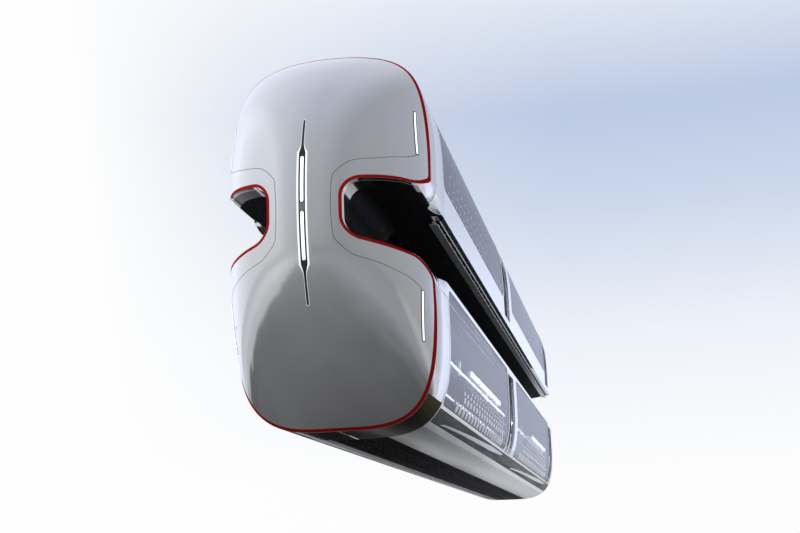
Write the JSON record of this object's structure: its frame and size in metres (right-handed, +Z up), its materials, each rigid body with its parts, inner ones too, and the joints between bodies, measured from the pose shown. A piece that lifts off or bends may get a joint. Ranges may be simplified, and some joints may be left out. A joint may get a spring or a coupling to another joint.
{
  "type": "double-deck train car",
  "caption": "Leading car of a double-deck train carried at its waist: two glazed pods joined by a spine, an hourglass nose mask, and sliding doors.",
  "frame": {"origin": "middle of the groove between the two pods, on the centre plane, halfway along the body, where the car is held", "axes": "+Z up, +Y along the car towards its coupled end, the nose looks along -Y, +X across the car"},
  "size_m": [3.2, 28.2699, 6.1216],
  "materials": {
    "pearl_shell": "glossy pearl grey-white",
    "red_trim": "glossy red",
    "polished_metal": "mirror polished",
    "body_white": "high gloss white",
    "body_black": "satin black",
    "rail_steel": "ground running face",
    "lamp_lens": "lit white lens",
    "glazing": "lightly tinted",
    "seat_shell": "satin moulded seat",
    "lining": "satin lining",
    "bellows_rubber": "matte folded rubber"
  },
  "bodies": {
    "root": {"nose_mask": "pearl_shell", "edge_trim": "red_trim", "nose_collar": "polished_metal", "light_bar": "body_black", "waist_spine": "body_black", "lower_ceiling": "body_black", "upper_floor": "body_black", "carrying_rail_left": "rail_steel", "carrying_rail_right": "rail_steel", "roof_crown": "body_white", "roof_side_left": "body_white", "roof_side_right": "body_white", "skirt_left": "polished_metal", "skirt_right": "polished_metal", "belly_pan": "body_black", "lower_floor": "lining", "nose_wall_lower": "lining", "nose_wall_upper": "lining", "end_frame_lower": "body_white", "end_frame_upper": "body_white", "gangway_bellows_lower": "bellows_rubber", "gangway_bellows_upper": "bellows_rubber", "coupler": "rail_steel", "corner_lamp_lower_left": "lamp_lens", "side_frame_lower_left": "body_white", "pane_lower_left_front": "glazing", "pane_lower_left_rear": "glazing", "corner_lamp_lower_right": "lamp_lens", "side_frame_lower_right": "body_white", "pane_lower_right_front": "glazing", "pane_lower_right_rear": "glazing", "bench_lower_front": "seat_shell", "bench_lower_rear": "seat_shell", "corner_lamp_upper_left": "lamp_lens", "side_frame_upper_left": "body_white", "pane_upper_left_front": "glazing", "pane_upper_left_rear": "glazing", "corner_lamp_upper_right": "lamp_lens", "side_frame_upper_right": "body_white", "pane_upper_right_front": "glazing", "pane_upper_right_rear": "glazing", "bench_upper_front": "seat_shell", "bench_upper_rear": "seat_shell"},
    "door_lower_left_front": {"door_lower_left_front": "glazing"},
    "door_lower_left_rear": {"door_lower_left_rear": "glazing"},
    "door_lower_right_front": {"door_lower_right_front": "glazing"},
    "door_lower_right_rear": {"door_lower_right_rear": "glazing"},
    "door_upper_left_front": {"door_upper_left_front": "glazing"},
    "door_upper_left_rear": {"door_upper_left_rear": "glazing"},
    "door_upper_right_front": {"door_upper_right_front": "glazing"},
    "door_upper_right_rear": {"door_upper_right_rear": "glazing"}
  },
  "joints": [
    {"name": "slide_lower_left_front", "type": "slide", "parent": "root", "child": "door_lower_left_front", "axis": [0, -1, 0], "range_m": [0, 1.35]},
    {"name": "slide_lower_left_rear", "type": "slide", "parent": "root", "child": "door_lower_left_rear", "axis": [0, -1, 0], "range_m": [0, 1.35]},
    {"name": "slide_lower_right_front", "type": "slide", "parent": "root", "child": "door_lower_right_front", "axis": [0, -1, 0], "range_m": [0, 1.35]},
    {"name": "slide_lower_right_rear", "type": "slide", "parent": "root", "child": "door_lower_right_rear", "axis": [0, -1, 0], "range_m": [0, 1.35]},
    {"name": "slide_upper_left_front", "type": "slide", "parent": "root", "child": "door_upper_left_front", "axis": [0, -1, 0], "range_m": [0, 1.35]},
    {"name": "slide_upper_left_rear", "type": "slide", "parent": "root", "child": "door_upper_left_rear", "axis": [0, -1, 0], "range_m": [0, 1.35]},
    {"name": "slide_upper_right_front", "type": "slide", "parent": "root", "child": "door_upper_right_front", "axis": [0, -1, 0], "range_m": [0, 1.35]},
    {"name": "slide_upper_right_rear", "type": "slide", "parent": "root", "child": "door_upper_right_rear", "axis": [0, -1, 0], "range_m": [0, 1.35]}
  ]
}
